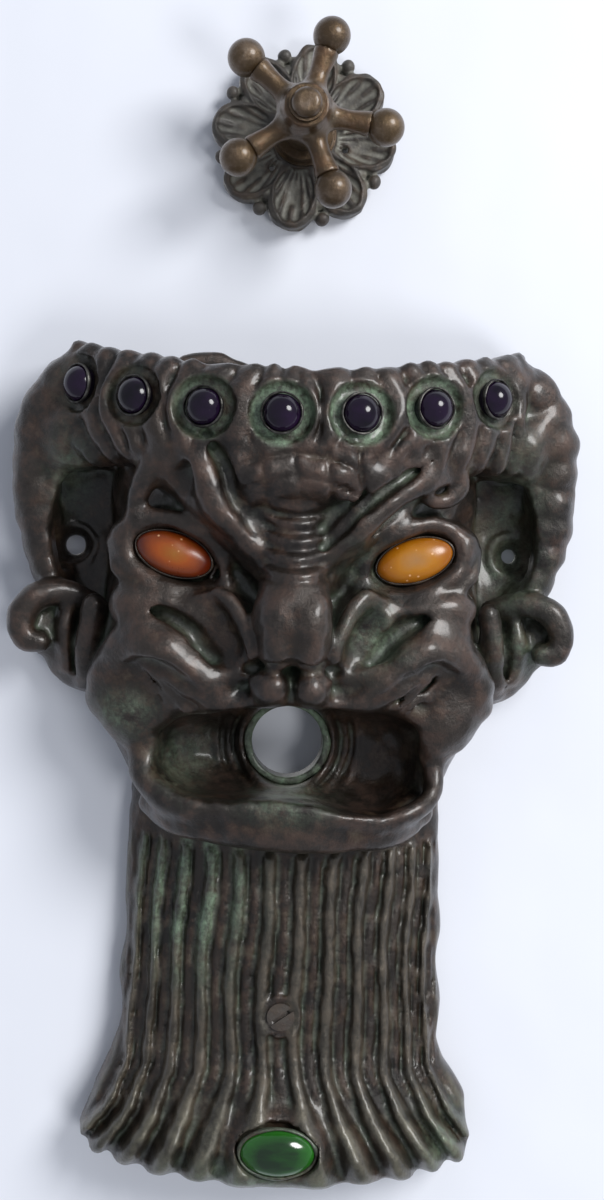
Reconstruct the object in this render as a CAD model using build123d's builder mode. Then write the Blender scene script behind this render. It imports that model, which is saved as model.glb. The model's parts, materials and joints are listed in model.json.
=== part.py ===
from build123d import *

import os
from math import asin, cos, degrees, radians, sin, sqrt

# A hollow cast-bronze mask plate for a door, with a turn knob on its own rosette above it.
# +Z is up, the door's face is the plane Y = 0, and the front of everything faces -Y.
# The origin is the centre of the round hole in the mask's mouth, on the door's face.

# Shell of the mask
wall = 4.5

# Crown: a band bent about an upright axis, its top edge rising towards the sides
crown_depth = 66.0
crown_side_depth = 27.9
crown_half_width = 80.0
crown_bottom = 95.0
crown_top = 125.0
crown_rise = 14.0

# Seven round stones in the crown, each in a rub-over bezel
crown_stone_count = 7
crown_stone_inset = 9.7  # from the crown's side to an outermost stone's centre
crown_stone_turn = -3.2  # degrees, by which the whole row sits off the middle
crown_stone_drop = 16.0  # from the top edge to a stone's centre
crown_stone_radius = 6.5
crown_bezel_wall = 1.25
crown_pocket = 3.0

# Face, between the crown and the beard
face_top = 104.0
face_half_width = 66.0
face_depth = 50.0
cheek_depth = 46.0
side_depth = 22.0
chin_bottom = -34.0
chin_half_width = 51.0

# Forehead, nose, brows and cheek folds
forehead_radius = 47.0
forehead_front = 54.5
forehead_bottom = 81.0
nose_half_width = 13.0
nose_depth = 67.0
nose_bottom = 27.0
nose_tip_top = 14.0  # heights of the tip above the nose's underside
nose_tip_low = 5.0
nose_tip_cut = 6.0
nose_sink = 3.0  # how far the nose's top lies inside the forehead
nostril_radius = 12.0
nostril_depth = 57.0
brow_radius = 7.0
fold_radius = 6.0

# Three points on the middle line of a brow and of a cheek fold: (sideways, depth, height)
brow_line = ((9.0, 49.0, 70.0), (25.0, 48.0, 82.0), (46.0, 40.0, 96.0))
fold_line = ((27.0, 44.0, 26.0), (46.0, 37.0, 34.0), (60.0, 26.0, 21.0))

# Oval eyes in collets, their outer corners raised
eye_x = 40.0
eye_z = 64.0
eye_half_width = 13.0
eye_half_height = 7.5
eye_tilt = 18.0
eye_front = 45.0
collet_wall = 1.6
collet_pocket = 4.0
collet_proud = 0.6
seat_rim = 3.0
seat_length = 13.5
cabochon_height = 6.2
cabochon_round = 3.4

# Mouth cavity, its floor near the door, and the sleeve in the hole through the floor
mouth_width = 93.0
mouth_margin = 2.45  # above the sleeve's flange, and as much again below it
mouth_z = -2.0
mouth_corner = 14.0
mouth_floor = 8.0
lip_front = 40.0
bush_bore_radius = 12.5
bush_wall = 2.5
bush_flange_rim = 0.8
bush_flange = 6.0
bush_taper = 5.0
bush_boss_wall = 6.0

# Ears beside the face: a bowl inside a raised rim, with a screw hole in the bowl's floor
ear_width = 33.5
ear_overlap = 6.0  # how far an ear reaches into the face's wall
ear_top = 129.0
ear_bottom = 16.0
ear_height = 20.0
ear_floor = 5.0
bowl_z = 84.0
bowl_half_width = 11.5
bowl_half_height = 34.0
ear_screw_z = 67.5
ear_screw_radius = 3.0
ear_sink_radius = 6.0

# Outline of an ear, from its top to its lobe: (in from the widest point, height)
ear_shoulder = (24.0, ear_top)
ear_widest = (0.0, 93.0)
ear_nick = (11.5, 50.0)
ear_hook = (3.0, 41.0)
ear_lobe = (9.0, 31.0)
ear_lobe_round = (18.0, ear_bottom + 4)

# Beard: fluted, straight, then flaring to its foot
beard_half_width = 55.0
beard_depth = 27.0
beard_side_depth = 7.0
beard_waist = -108.0
flare_half_width = 69.0
flare_depth = 35.0
flare_z = -134.0
beard_foot = -153.0
foot_half_width = 60.0
rib_count = 11
rib_radius = 5.0
rib_proud = 2.5  # of the beard's front
beard_overlap = 10.0  # how far the beard reaches up into the chin

# Green stone at the beard's foot, and the slotted screw above it
beard_stone_z = -136.0
beard_stone_half_width = 12.5
beard_stone_half_height = 7.75
beard_stone_front = 39.0
screw_z = -92.6
screw_head_radius = 4.7
screw_head = 3.0
screw_radius = 2.4
screw_boss_radius = 8.0
screw_slot = 1.3
screw_slot_turn = 35.0
screw_back = 1.0  # depth of the screw's end
screw_clearance = 0.15

# Rosette of eight petals, with three pin holes
knob_z = 215.0
rosette_radius = 33.0
rosette_plate = 3.0
petal_count = 8
petal_centre = 21.4
petal_half_length = 11.0
petal_half_width = 6.5
petal_turn = -8.0
petal_height = 6.0
petal_rim = 2.2
petal_dish = 1.5
berry_radius = 3.4
pin_hole_count = 3
pin_hole_turn = 105.0
pin_hole_radius = 1.25
pin_hole_inset = 3.5  # from the boss's side
rosette_boss_wall = 2.45
rosette_boss = 8.0

# Stem of the knob, running in a bush, with a square socket for a spindle
stem_radius = 7.5
running_clearance = 0.05
rosette_bush_wall = 2.0
rosette_bush_rim = 1.95
rosette_bush_flange = 2.0
end_play = 0.2
collar_rim = 3.0
collar_length = 3.8
stem_front = 22.0
socket_side = 8.0
socket_depth = 15.0
ring_groove = 0.9
ring_proud = 2.5
ring_thickness = 1.4
ring_play = 0.3
ring_gap = 3.0
recess_depth = 3.0
recess_clearance = 0.5

# Hub with five round arms, each ending in a ball, and a domed cap screw
hub_radius = 11.0
hub_length = 20.0
hub_round = 2.5
arm_angles = (-9.0, 73.0, 139.0, 215.0, 291.0)
arm_radius = 3.6
arm_seat = 3.0
arm_plane = 33.0  # depth of the arms' axes
arm_end = 22.2
arm_collar_rim = 0.8
arm_collar = 2.6
spigot_shoulder = 1.85
spigot_length = 5.0
ball_radius = 6.4
cap_radius = 6.0
cap_rim = 1.6
cap_dome_radius = 5.2
cap_round = 2.6
cap_height = 4.4
cap_shank_radius = 2.5
cap_thread = 4.5

# Worked out from the dimensions above
crown_bow = crown_depth - crown_side_depth
crown_radius = (crown_half_width**2 + crown_bow**2) / (2 * crown_bow)
crown_axis_y = crown_radius - crown_depth
crown_end_angle = degrees(asin((crown_half_width - crown_stone_inset) / crown_radius))
crown_stone_pitch = 2 * crown_end_angle / (crown_stone_count - 1)
crown_edge_radius = (crown_half_width**2 + crown_rise**2) / (2 * crown_rise)
bush_radius = bush_bore_radius + bush_wall
bush_flange_radius = bush_radius + bush_flange_rim
bush_boss_radius = bush_radius + bush_boss_wall
mouth_height = 2 * (bush_flange_radius + mouth_margin)
ear_inner_x = face_half_width - ear_overlap
ear_half_width = face_half_width + ear_width
bowl_x = face_half_width + bowl_half_width
beard_front = beard_depth + rib_proud
stem_bore_radius = stem_radius + running_clearance
collar_radius = stem_radius + collar_rim
ring_groove_radius = stem_radius - ring_groove
ring_outer_radius = stem_radius + ring_proud
recess_radius = ring_outer_radius + recess_clearance
groove_back = recess_depth - ring_play - ring_thickness
rosette_bush_radius = stem_bore_radius + rosette_bush_wall
rosette_bush_flange_radius = rosette_bush_radius + rosette_bush_rim
rosette_boss_radius = rosette_bush_radius + rosette_boss_wall
pin_hole_circle = rosette_boss_radius + pin_hole_inset
flange_front = rosette_boss + rosette_bush_flange
hub_front = stem_front + hub_length
arm_collar_radius = arm_radius + arm_collar_rim
spigot_radius = arm_radius - spigot_shoulder
ball_centre = arm_end + sqrt(ball_radius**2 - arm_radius**2)
knob_plane = Plane(origin=(0, 0, knob_z), x_dir=(1, 0, 0), z_dir=(0, -1, 0))
through = 400.0  # longer than any piece


def front(depth):
    """The upright plane at a depth in front of the door, with local y up."""
    return Plane.XZ.offset(depth)


def body_section(z, half_width, depth, side, inset=0.0):
    """A flat-backed, round-fronted section at one height; with an inset it is the hollow's."""
    x = half_width - inset
    y = -(side - inset)
    back = wall if inset else 0
    with BuildSketch(Plane.XY.offset(z)) as section:
        with BuildLine():
            Polyline((-x, y), (-x, back), (x, back), (x, y))
            ThreePointArc((-x, y), (0, -(depth - inset)), (x, y))
        make_face()
    return section.sketch.face()


def body_loft(sections, inset=0.0):
    """Join the sections; with an inset this cuts the hollow, which is closed at both ends."""
    faces = []
    for index, (z, half_width, depth, side) in enumerate(sections):
        end = inset if index == 0 else -inset if index == len(sections) - 1 else 0
        faces.append(body_section(z - end, half_width, depth, side, inset))
    loft(faces, ruled=True, mode=Mode.SUBTRACT if inset else Mode.ADD)


def roll(line, side, radius):
    """A round bar bent through three points; side is -1 on the left and 1 on the right."""
    with BuildLine() as path:
        arc = ThreePointArc(*[(side * x, -depth, z) for x, depth, z in line])
    with BuildSketch(Plane(origin=arc @ 0, z_dir=arc % 0)) as section:
        Circle(radius)
    sweep(section.sketch, path=path.wire())


def oval(plane, half_width, half_height, length, mode=Mode.ADD):
    """An oval prism that runs from the plane along its normal."""
    with BuildSketch(plane) as section:
        Ellipse(half_width, half_height)
    extrude(section.sketch, amount=length, mode=mode)


def cabochon_of(plane, half_width, half_height, height, round_over):
    """A stone with a straight girdle and a rounded front, its back on the plane."""
    with BuildPart() as stone:
        oval(plane, half_width, half_height, height)
        front_face = stone.faces().filter_by(GeomType.PLANE).sort_by(Axis(plane.origin, plane.z_dir))[-1]
        fillet(front_face.edges(), radius=round_over)
    return stone.part


def collet_of(plane, half_width, half_height, rim, height):
    """A ring that holds a stone, its back on the plane."""
    with BuildPart() as ring:
        oval(plane, half_width + rim, half_height + rim, height)
        oval(plane, half_width, half_height, height, mode=Mode.SUBTRACT)
    return ring.part


def save(piece, name):
    piece.label = name
    export_step(piece, f"parts/{name}.step")


def crown_edge_z(x):
    """Height of the crown's top edge at a distance from the middle."""
    return crown_top + crown_edge_radius - sqrt(crown_edge_radius**2 - x**2)


def crown_plane(index):
    """The plane on the crown's surface at one stone, its normal pointing out."""
    angle = radians(crown_stone_turn + (index - (crown_stone_count - 1) / 2) * crown_stone_pitch)
    x = crown_radius * sin(angle)
    y = crown_axis_y - crown_radius * cos(angle)
    z = crown_edge_z(x) - crown_stone_drop
    return Plane(origin=(x, y, z), x_dir=(cos(angle), sin(angle), 0), z_dir=(sin(angle), -cos(angle), 0))


def eye_plane(side):
    """The floor of an eye's pocket; side is -1 on the left and 1 on the right."""
    tilt = radians(eye_tilt)
    floor = eye_front - collet_pocket
    along = (cos(tilt), 0, side * sin(tilt))
    return Plane(origin=(side * eye_x, -floor, eye_z), x_dir=along, z_dir=(0, -1, 0))


beard_stone_plane = Plane(
    origin=(0, collet_pocket - beard_stone_front, beard_stone_z), x_dir=(1, 0, 0), z_dir=(0, -1, 0)
)

face_sections = (
    (face_top, face_half_width, face_depth, side_depth),
    (eye_z, face_half_width, cheek_depth, side_depth),
    (0, face_half_width, cheek_depth, side_depth),
    (chin_bottom, chin_half_width, cheek_depth, side_depth),
)
beard_sections = (
    (chin_bottom + beard_overlap, beard_half_width, beard_depth, beard_side_depth),
    (beard_waist, beard_half_width, beard_depth, beard_side_depth),
    (flare_z, flare_half_width, flare_depth, beard_side_depth),
    (beard_foot, foot_half_width, flare_depth, beard_side_depth),
)

os.makedirs("parts", exist_ok=True)

# The crown, as a solid block and as the hollow inside it
with BuildPart() as crown_block:
    section = body_section(crown_bottom, crown_half_width, crown_depth, crown_side_depth)
    extrude(section, amount=crown_top + crown_rise - crown_bottom, dir=(0, 0, 1))
    with BuildSketch(front(0)):
        with Locations((0, crown_top + crown_edge_radius)):
            Circle(crown_edge_radius)
    extrude(amount=crown_depth, mode=Mode.SUBTRACT)

with BuildPart() as crown_hollow:
    section = body_section(crown_bottom + wall, crown_half_width, crown_depth, crown_side_depth, wall)
    extrude(section, amount=crown_top + crown_rise - crown_bottom, dir=(0, 0, 1))
    with BuildSketch(front(-wall)):
        with Locations((0, crown_top + crown_edge_radius)):
            Circle(crown_edge_radius + wall)
    extrude(amount=crown_depth + wall, mode=Mode.SUBTRACT)

# One ear, on the right: a block with a bowl sunk into its front
with BuildPart() as ear:
    with BuildSketch(front(0)):
        with BuildLine():
            shoulder, widest, nick, hook, lobe, lobe_round = [
                (ear_half_width - inset, z)
                for inset, z in (ear_shoulder, ear_widest, ear_nick, ear_hook, ear_lobe, ear_lobe_round)
            ]
            ThreePointArc(shoulder, widest, nick)
            Polyline(nick, hook, lobe)
            ThreePointArc(lobe, lobe_round, (ear_inner_x, ear_bottom))
            Polyline((ear_inner_x, ear_bottom), (ear_inner_x, ear_top), shoulder)
        make_face()
    extrude(amount=ear_height)
    with BuildSketch(front(ear_floor)):
        with Locations((bowl_x, bowl_z)):
            Ellipse(bowl_half_width, bowl_half_height)
    extrude(amount=ear_height, mode=Mode.SUBTRACT)
    with Locations(front(ear_floor)):
        with Locations((bowl_x, ear_screw_z)):
            CounterSinkHole(ear_screw_radius, ear_sink_radius, depth=ear_floor)

# One wing of the nose, on the right
with BuildPart() as nostril:
    with BuildSketch(front(cheek_depth - wall)):
        with Locations((nose_half_width + nostril_radius / 2, nose_bottom + nostril_radius)):
            Circle(nostril_radius)
    extrude(amount=nostril_depth - cheek_depth + wall)
    fillet(nostril.faces().sort_by(Axis.Y)[0].edges(), radius=nostril_radius / 2)

# The casting: its outside first, then its hollow, then the seats and holes
with BuildPart() as mask_casting:
    body_loft(face_sections)
    body_loft(beard_sections)
    add(crown_block.part)
    body_loft(face_sections, inset=wall)
    body_loft(beard_sections, inset=wall)
    add(crown_hollow.part, mode=Mode.SUBTRACT)
    add(ear.part)
    add(ear.part.mirror(Plane.YZ))

    # Forehead, a smooth bulge under the crown
    with BuildSketch(Plane.XY.offset(forehead_bottom)):
        with Locations((0, forehead_radius - forehead_front)):
            Circle(forehead_radius)
        with Locations((0, through / 2 - face_depth + wall)):
            Rectangle(through, through, mode=Mode.SUBTRACT)
    extrude(amount=crown_bottom - forehead_bottom)

    # Nose, as its side outline
    with BuildSketch(Plane.YZ):
        with BuildLine():
            Polyline(
                (-cheek_depth + wall, forehead_bottom + wall),
                (-forehead_front + nose_sink, forehead_bottom + wall),
                (-face_depth, eye_z),
                (-nose_depth, nose_bottom + nose_tip_top),
                (-nose_depth, nose_bottom + nose_tip_low),
                (-nose_depth + nose_tip_cut, nose_bottom),
                (-cheek_depth + wall, nose_bottom),
                close=True,
            )
        make_face()
    extrude(amount=nose_half_width, both=True)

    add(nostril.part)
    add(nostril.part.mirror(Plane.YZ))
    for side in (-1, 1):
        roll(brow_line, side, brow_radius)
        roll(fold_line, side, fold_radius)
        # Pad that carries the eye
        eye_pad = eye_plane(side).offset(collet_pocket - seat_length)
        rim = collet_wall + seat_rim
        oval(eye_pad, eye_half_width + rim, eye_half_height + rim, seat_length)

    # Tub of the mouth, and the boss around its hole
    with BuildSketch(front(mouth_floor - wall)):
        with Locations((0, mouth_z)):
            RectangleRounded(mouth_width + 2 * wall, mouth_height + 2 * wall, mouth_corner + wall)
    extrude(amount=lip_front - mouth_floor + wall)
    with BuildSketch(front(0)):
        Circle(bush_boss_radius)
    extrude(amount=mouth_floor)
    with BuildSketch(front(mouth_floor)):
        with Locations((0, mouth_z)):
            RectangleRounded(mouth_width, mouth_height, mouth_corner)
    extrude(amount=through, mode=Mode.SUBTRACT)
    with BuildSketch(front(0)):
        Circle(bush_radius)
    extrude(amount=through, mode=Mode.SUBTRACT)

    # Flutes of the beard
    rib_pitch = 2 * (beard_half_width - rib_radius) / (rib_count - 1)
    for index in range(rib_count):
        x = (index - (rib_count - 1) / 2) * rib_pitch
        drop = (beard_depth - beard_side_depth) * (x / beard_half_width) ** 2
        with BuildSketch(Plane.XY.offset(beard_waist)):
            with Locations((x, drop - beard_front + rib_radius)):
                Circle(rib_radius)
        extrude(amount=chin_bottom - beard_waist + wall)

    # Boss for the screw, and pad for the beard's stone
    with BuildSketch(front(0)):
        with Locations((0, screw_z)):
            Circle(screw_boss_radius)
    extrude(amount=beard_front)
    rim = collet_wall + seat_rim
    stone_pad = beard_stone_plane.offset(collet_pocket - seat_length)
    oval(stone_pad, beard_stone_half_width + rim, beard_stone_half_height + rim, seat_length)

    # Pockets and the screw's hole
    for side in (-1, 1):
        oval(
            eye_plane(side),
            eye_half_width + collet_wall,
            eye_half_height + collet_wall,
            through,
            mode=Mode.SUBTRACT,
        )
    oval(
        beard_stone_plane,
        beard_stone_half_width + collet_wall,
        beard_stone_half_height + collet_wall,
        through,
        mode=Mode.SUBTRACT,
    )
    for index in range(crown_stone_count):
        with BuildSketch(crown_plane(index).offset(-crown_pocket)):
            Circle(crown_stone_radius + crown_bezel_wall)
        extrude(amount=2 * crown_pocket, mode=Mode.SUBTRACT)
    with Locations(front(beard_front)):
        with Locations((0, screw_z)):
            CounterBoreHole(
                screw_radius + screw_clearance,
                screw_head_radius + screw_clearance,
                screw_head,
                depth=beard_front,
            )
save(mask_casting.part, "mask_casting")

with BuildPart() as mouth_bush:
    with BuildSketch(front(0)):
        Circle(bush_radius)
    extrude(amount=mouth_floor)
    with BuildSketch(front(mouth_floor)):
        Circle(bush_flange_radius)
    extrude(amount=bush_flange, taper=bush_taper)
    with BuildSketch(front(0)):
        Circle(bush_bore_radius)
    extrude(amount=through, mode=Mode.SUBTRACT)
save(mouth_bush.part, "mouth_bush")

# Crown stones and their bezels
for index in range(crown_stone_count):
    seat = crown_plane(index).offset(-crown_pocket)
    bezel = collet_of(
        seat, crown_stone_radius, crown_stone_radius, crown_bezel_wall, crown_pocket + collet_proud
    )
    save(bezel, f"crown_bezel_{index + 1}")
    stone = cabochon_of(seat, crown_stone_radius, crown_stone_radius, cabochon_height, cabochon_round)
    save(stone, f"crown_stone_{index + 1}")

# Eyes and the beard's stone
for name, seat, half_width, half_height in (
    ("eye_left", eye_plane(-1), eye_half_width, eye_half_height),
    ("eye_right", eye_plane(1), eye_half_width, eye_half_height),
    ("beard", beard_stone_plane, beard_stone_half_width, beard_stone_half_height),
):
    collet = collet_of(seat, half_width, half_height, collet_wall, collet_pocket + collet_proud)
    save(collet, f"{name}_collet")
    save(cabochon_of(seat, half_width, half_height, cabochon_height, cabochon_round), f"{name}_stone")

with BuildPart() as beard_screw:
    with BuildSketch(front(screw_back)):
        with Locations((0, screw_z)):
            Circle(screw_radius)
    extrude(amount=beard_front - screw_back)
    with BuildSketch(front(beard_front)):
        with Locations((0, screw_z)):
            Circle(screw_head_radius)
    extrude(amount=-screw_head)
    with BuildSketch(front(beard_front)):
        with Locations((0, screw_z)):
            Rectangle(2 * screw_head_radius, screw_slot, rotation=screw_slot_turn)
    extrude(amount=-screw_head / 2, mode=Mode.SUBTRACT)
save(beard_screw.part, "beard_screw")

# Rosette: a plate with eight dished petals, a berry between each two, and a boss
with BuildPart() as rosette:
    with BuildSketch(knob_plane):
        Circle(rosette_radius - berry_radius)
    extrude(amount=rosette_plate)
    with BuildSketch(knob_plane):
        with PolarLocations(petal_centre, petal_count, start_angle=petal_turn):
            Ellipse(petal_half_length, petal_half_width)
    extrude(amount=petal_height)
    with BuildSketch(knob_plane.offset(petal_height - petal_dish)):
        with PolarLocations(petal_centre, petal_count, start_angle=petal_turn):
            Ellipse(petal_half_length - petal_rim, petal_half_width - petal_rim)
    extrude(amount=petal_height, mode=Mode.SUBTRACT)
    berry_turn = petal_turn + 180 / petal_count  # half a petal on
    with BuildSketch(knob_plane):
        with PolarLocations(rosette_radius - berry_radius, petal_count, start_angle=berry_turn):
            Circle(berry_radius)
    extrude(amount=petal_height - petal_dish)
    with BuildSketch(knob_plane):
        Circle(rosette_boss_radius)
    extrude(amount=rosette_boss)
    with BuildSketch(knob_plane):
        Circle(rosette_bush_radius)
        with PolarLocations(pin_hole_circle, pin_hole_count, start_angle=pin_hole_turn):
            Circle(pin_hole_radius)
    extrude(amount=through, mode=Mode.SUBTRACT)
    with BuildSketch(knob_plane):
        Circle(recess_radius)
    extrude(amount=recess_depth, mode=Mode.SUBTRACT)
save(rosette.part, "rosette")

with BuildPart() as rosette_bush:
    with BuildSketch(knob_plane.offset(recess_depth)):
        Circle(rosette_bush_radius)
    extrude(amount=flange_front - recess_depth)
    with BuildSketch(knob_plane.offset(rosette_boss)):
        Circle(rosette_bush_flange_radius)
    extrude(amount=rosette_bush_flange)
    with BuildSketch(knob_plane):
        Circle(stem_bore_radius)
    extrude(amount=through, mode=Mode.SUBTRACT)
save(rosette_bush.part, "rosette_bush")

with BuildPart() as knob_stem:
    with BuildSketch(knob_plane):
        Circle(stem_radius)
    extrude(amount=stem_front)
    with BuildSketch(knob_plane.offset(flange_front + end_play)):
        Circle(collar_radius)
    extrude(amount=collar_length)
    with BuildSketch(knob_plane.offset(groove_back)):
        Circle(stem_radius)
        Circle(ring_groove_radius, mode=Mode.SUBTRACT)
    extrude(amount=ring_thickness, mode=Mode.SUBTRACT)
    with BuildSketch(knob_plane):
        Rectangle(socket_side, socket_side)
    extrude(amount=socket_depth, mode=Mode.SUBTRACT)
    with BuildSketch(knob_plane.offset(stem_front)):
        Circle(cap_shank_radius)
    extrude(amount=-cap_thread, mode=Mode.SUBTRACT)
save(knob_stem.part, "knob_stem")

with BuildPart() as stem_ring:
    with BuildSketch(knob_plane.offset(groove_back)):
        Circle(ring_outer_radius)
        Circle(ring_groove_radius, mode=Mode.SUBTRACT)
        with Locations((0, -ring_outer_radius)):
            Rectangle(ring_gap, 2 * ring_outer_radius, mode=Mode.SUBTRACT)
    extrude(amount=ring_thickness)
save(stem_ring.part, "stem_ring")


def arm_frame(angle):
    """A plane across an arm at the knob's axis, its normal pointing along the arm."""
    along = (cos(radians(angle)), 0, sin(radians(angle)))
    return Plane(origin=(0, -arm_plane, knob_z), x_dir=(0, -1, 0), z_dir=along)


def bar(plane, start, end, radius, mode=Mode.ADD):
    """A round bar along a plane's normal, between two distances from it."""
    with BuildSketch(plane.offset(start)) as section:
        Circle(radius)
    extrude(section.sketch, amount=end - start, mode=mode)


with BuildPart() as knob_hub:
    with BuildSketch(knob_plane.offset(stem_front)):
        Circle(hub_radius)
    extrude(amount=hub_length)
    fillet(knob_hub.edges().filter_by(GeomType.CIRCLE), radius=hub_round)
    for angle in arm_angles:
        bar(arm_frame(angle), hub_radius - arm_seat, hub_radius + arm_seat, arm_radius, mode=Mode.SUBTRACT)
    bar(knob_plane, 0, through, cap_shank_radius, mode=Mode.SUBTRACT)
save(knob_hub.part, "knob_hub")

for index, angle in enumerate(arm_angles):
    across = arm_frame(angle)
    with BuildPart() as arm:
        bar(across, hub_radius - arm_seat, arm_end, arm_radius)
        bar(across, arm_end - arm_collar, arm_end, arm_collar_radius)
        bar(across, arm_end, arm_end + spigot_length, spigot_radius)
    save(arm.part, f"knob_arm_{index + 1}")
    with BuildPart() as ball:
        with Locations(across.offset(ball_centre)):
            Sphere(ball_radius)
        bar(across, 0, arm_end, ball_radius, mode=Mode.SUBTRACT)
        bar(across, arm_end, arm_end + spigot_length, spigot_radius, mode=Mode.SUBTRACT)
    save(ball.part, f"arm_ball_{index + 1}")

with BuildPart() as knob_cap:
    bar(knob_plane, hub_front, hub_front + cap_height, cap_dome_radius)
    fillet(knob_cap.faces().sort_by(Axis.Y)[0].edges(), radius=cap_round)
    bar(knob_plane, hub_front, hub_front + cap_rim, cap_radius)
    bar(knob_plane, stem_front - cap_thread, hub_front, cap_shank_radius)
save(knob_cap.part, "knob_cap")
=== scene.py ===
import json
from itertools import product
from math import atan2, cos, degrees, pi, radians, sin

import bpy
import numpy as np
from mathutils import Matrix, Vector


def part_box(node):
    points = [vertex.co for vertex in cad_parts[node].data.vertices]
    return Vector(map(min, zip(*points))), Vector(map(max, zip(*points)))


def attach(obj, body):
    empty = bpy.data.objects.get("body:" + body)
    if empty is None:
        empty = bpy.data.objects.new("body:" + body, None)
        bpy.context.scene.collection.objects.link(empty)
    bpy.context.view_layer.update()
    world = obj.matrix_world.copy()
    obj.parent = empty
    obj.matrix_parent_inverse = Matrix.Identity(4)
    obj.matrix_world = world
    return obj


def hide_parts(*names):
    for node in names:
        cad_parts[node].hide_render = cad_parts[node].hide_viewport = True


# Looks of a bronze grotesque mask plate and its turn knob. Sculpted pieces are worked as clay:
# a signed distance on a grid, in millimetres, with x to the right, h out of the door and z up.

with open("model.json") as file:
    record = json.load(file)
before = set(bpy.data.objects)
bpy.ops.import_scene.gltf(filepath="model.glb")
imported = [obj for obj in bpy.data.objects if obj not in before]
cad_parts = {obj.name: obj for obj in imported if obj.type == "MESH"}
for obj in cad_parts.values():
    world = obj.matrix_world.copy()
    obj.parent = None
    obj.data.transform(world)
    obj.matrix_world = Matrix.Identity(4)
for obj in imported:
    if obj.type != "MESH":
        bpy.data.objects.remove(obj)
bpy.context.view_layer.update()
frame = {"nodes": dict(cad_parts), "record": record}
MM = 0.001


def box_mm(node):
    """The lowest and highest (x, h, z) of a CAD node, in millimetres."""
    low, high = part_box(node)
    return (
        np.array((low.x, -high.y, low.z)) / MM,
        np.array((high.x, -low.y, high.z)) / MM,
    )


def centre_mm(node):
    low, high = box_mm(node)
    return (low + high) / 2


# Places and sizes taken from the frame
EYE = centre_mm("eye_right_stone")
EYE_FRONT = box_mm("eye_right_collet")[1][1]
BUSH_RADIUS = box_mm("mouth_bush")[1][0]
MOUNTS = {mount["name"]: mount for mount in frame["record"]["mounts"]}
HOLE_RADIUS = MOUNTS["mouth_bore"]["dims"]["r_mm"]
BUSH_FRONT = box_mm("mouth_bush")[1][1]
SCREW = centre_mm("beard_screw")
SCREW_FRONT = box_mm("beard_screw")[1][1]
SCREW_RADIUS = (box_mm("beard_screw")[1][0] - box_mm("beard_screw")[0][0]) / 2
BEARD_STONE = centre_mm("beard_stone")
BEARD_STONE_FRONT = box_mm("beard_collet")[1][1]
KNOB = centre_mm("rosette")
PIN_CIRCLE = MOUNTS["rosette_pins"]["dims"]["pcd_mm"] / 2
PIN_RADIUS = MOUNTS["rosette_pins"]["dims"]["hole_r_mm"]
CROWN_STONES = [centre_mm(f"crown_stone_{index}") for index in range(1, 8)]

# Sizes of the sculpture: lengths in millimetres, angles in degrees unless turned to radians here
EYE_TILT = radians(18)
WALL = 4.5
CROWN_AXIS = -37.0  # h of the upright axis that the crown's band is bent about
CROWN_RADIUS = box_mm("mask_casting")[1][1] - 1 - CROWN_AXIS
CROWN_BOTTOM = 95
LOBE_ANGLE = 5.13  # from one lobe of the crown to the next
BEARD_CURVE = 60  # radius that the beard's front is bent to
LOCK_ANGLE = 10.45  # from one lock of the beard to the next
CHIN_LINE = -31.5  # top of the beard's locks at its sides
NICK_PITCH = 3.9
EAR_HOLE = (77.5, 67.5)
EAR_HOLE_RADIUS = 3
PETALS = 8
PETAL_REACH = 20.5  # from the rosette's middle to the middle of a petal
PETAL_LENGTH = 12.6
PETAL_WIDTH = 8.4
PETAL_TURN = radians(-8)


# ---- clay


def trilinear(corner, shares):
    """The values at a cell's eight corners, weighted by how near a place is to each."""
    total = 0
    for ends in product((0, 1), repeat=3):
        weight = 1
        for share, end in zip(shares, ends):
            weight = weight * (share if end else 1 - share)
        total = total + corner(*ends) * weight
    return total


class Lattice:
    """Smooth seeded noise in three dimensions, between about -1 and 1."""

    def __init__(self, seed, size=24):
        self.size = size
        self.values = np.random.default_rng(seed).uniform(-1, 1, (size,) * 3).astype(np.float32)

    def at(self, x, h, z, scale):
        x, h, z = np.broadcast_arrays(x / scale, h / scale, z / scale)
        parts = [np.floor(a) for a in (x, h, z)]
        whole = [a.astype(np.int32) for a in parts]
        shares = [a - b for a, b in zip((x, h, z), parts)]
        shares = [t * t * (3 - 2 * t) for t in shares]

        def corner(i, j, k):
            return self.values[tuple((a + end) % self.size for a, end in zip(whole, (i, j, k)))]

        return trilinear(corner, shares)


def soft_min(a, b, k):
    """The lower of two distances, with a fillet of about k where they meet."""
    if k <= 0:
        return np.minimum(a, b)
    t = np.clip(0.5 + 0.5 * (b - a) / k, 0, 1)
    return b + (a - b) * t - k * t * (1 - t)


def soft_max(a, b, k):
    return -soft_min(-a, -b, k)


def ramp(x, low, high):
    """0 below low, 1 above high, and smooth between."""
    t = np.clip((x - low) / (high - low), 0, 1)
    return t * t * (3 - 2 * t)


def bell(x, width):
    """1 at nought, falling away within about a width on either side."""
    return np.exp(-((x / width) ** 2))


def from_whole(x):
    """How far a value is from the nearest whole number."""
    return x - np.round(x)


def apart(a, b, centre=(0, 0)):
    """How far places are from a centre, measured along two of the axes."""
    return np.sqrt((a - centre[0]) ** 2 + (b - centre[1]) ** 2)


def through_points(points):
    """A smooth path through given points (any number of values each), as a Catmull-Rom curve."""
    per_span = 6
    p = np.array(points, float)
    p = np.vstack((2 * p[0] - p[1], p, 2 * p[-1] - p[-2]))
    path = []
    for i in range(1, len(p) - 2):
        for t in np.arange(per_span) / per_span:
            a, b, c, d = p[i - 1 : i + 3]
            bend = (2 * a - 5 * b + 4 * c - d) * t**2 + (3 * b - a - 3 * c + d) * t**3
            path.append(0.5 * (2 * b + (c - a) * t + bend))
    path.append(p[-2])
    return np.array(path)


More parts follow.
